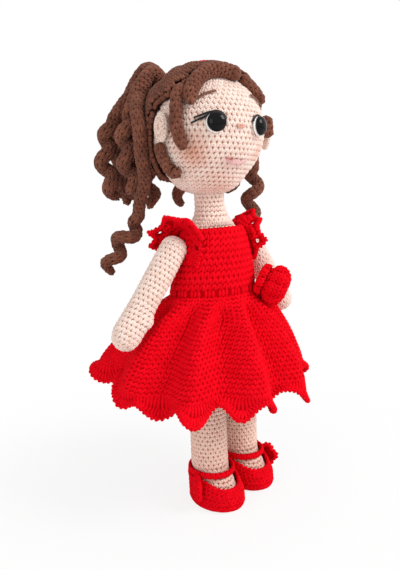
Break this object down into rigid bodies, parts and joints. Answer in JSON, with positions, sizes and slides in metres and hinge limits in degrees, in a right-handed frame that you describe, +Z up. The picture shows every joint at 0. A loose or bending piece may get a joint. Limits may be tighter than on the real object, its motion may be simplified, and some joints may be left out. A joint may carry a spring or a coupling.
{
  "type": "crocheted doll",
  "caption": "Standing crocheted doll with a turning head, swinging arms, curled hair in a ponytail, frilled dress and strap shoes.",
  "frame": {"origin": "middle of the doll's box, on the floor that its soles stand on", "axes": "+Z up, the doll faces -Y, and its right side is at -X"},
  "size_m": [0.1344, 0.1298, 0.2406],
  "materials": {
    "skin_yarn": "peach cotton yarn, single crochet",
    "dress_yarn": "bright red cotton yarn, single crochet",
    "shoe_yarn": "bright red cotton yarn, tight single crochet",
    "hair_yarn": "dark reddish brown cotton yarn, crocheted strips",
    "eye_plastic": "glossy black safety eye",
    "eye_felt": "white felt",
    "lash_thread": "black embroidery thread",
    "brow_thread": "brown embroidery thread",
    "mouth_thread": "pink embroidery thread",
    "nose_thread": "reddish peach thread",
    "stuffing": "loose polyester filling",
    "dowel_wood": "plain birch",
    "washer_plastic": "translucent washer",
    "insole_board": "stiff felt board",
    "button_plastic": "small red button"
  },
  "bodies": {
    "torso": {"back_button": "button_plastic", "dress_bodice": "dress_yarn", "dress_skirt": "dress_yarn", "foot_left_insole": "insole_board", "foot_right_insole": "insole_board", "leg_left_skin": "skin_yarn", "leg_left_stuffing": "stuffing", "leg_right_skin": "skin_yarn", "leg_right_stuffing": "stuffing", "neck_dowel": "dowel_wood", "shoe_left_flower": "shoe_yarn", "shoe_left_sole": "shoe_yarn", "shoe_left_strap": "shoe_yarn", "shoe_left_upper": "shoe_yarn", "shoe_right_flower": "shoe_yarn", "shoe_right_sole": "shoe_yarn", "shoe_right_strap": "shoe_yarn", "shoe_right_upper": "shoe_yarn", "shoulder_frill_left": "dress_yarn", "shoulder_frill_right": "dress_yarn", "torso_skin": "skin_yarn", "torso_stuffing": "stuffing", "waist_rosette": "dress_yarn"},
    "head": {"ear_left": "skin_yarn", "ear_lock": "hair_yarn", "ear_right": "skin_yarn", "eye_left": "eye_plastic", "eye_left_washer": "washer_plastic", "eye_left_white": "eye_felt", "eye_right": "eye_plastic", "eye_right_washer": "washer_plastic", "eye_right_white": "eye_felt", "eyebrow_left": "brow_thread", "eyebrow_right": "brow_thread", "eyelashes_left": "lash_thread", "eyelashes_right": "lash_thread", "far_curl": "hair_yarn", "far_long_lock": "hair_yarn", "far_roll": "hair_yarn", "front_roll": "hair_yarn", "hair_bow": "dress_yarn", "hair_cap": "hair_yarn", "head_skin": "skin_yarn", "head_stuffing": "stuffing", "mouth": "mouth_thread", "near_long_lock": "hair_yarn", "nose": "nose_thread", "ponytail_curl_1": "hair_yarn", "ponytail_curl_2": "hair_yarn", "ponytail_curl_3": "hair_yarn", "ponytail_curl_4": "hair_yarn", "ponytail_curl_5": "hair_yarn", "ponytail_curl_6": "hair_yarn", "ponytail_curl_7": "hair_yarn", "ponytail_knot": "hair_yarn", "side_lock": "hair_yarn"},
    "arm_right": {"arm_right_skin": "skin_yarn", "arm_right_stuffing": "stuffing"},
    "arm_left": {"arm_left_skin": "skin_yarn", "arm_left_stuffing": "stuffing"}
  },
  "joints": [
    {"name": "head_turn", "type": "hinge", "parent": "torso", "child": "head", "pos_m": [0.00107, -0.00855, 0.1704], "axis": [0, 0, 1], "range_deg": [-25, 25]},
    {"name": "arm_right_swing", "type": "hinge", "parent": "torso", "child": "arm_right", "pos_m": [-0.02493, -0.01005, 0.1405], "axis": [-1, 0, 0], "range_deg": [-40, 90]},
    {"name": "arm_left_swing", "type": "hinge", "parent": "torso", "child": "arm_left", "pos_m": [0.02707, -0.01005, 0.1405], "axis": [-1, 0, 0], "range_deg": [-25, 105]}
  ]
}
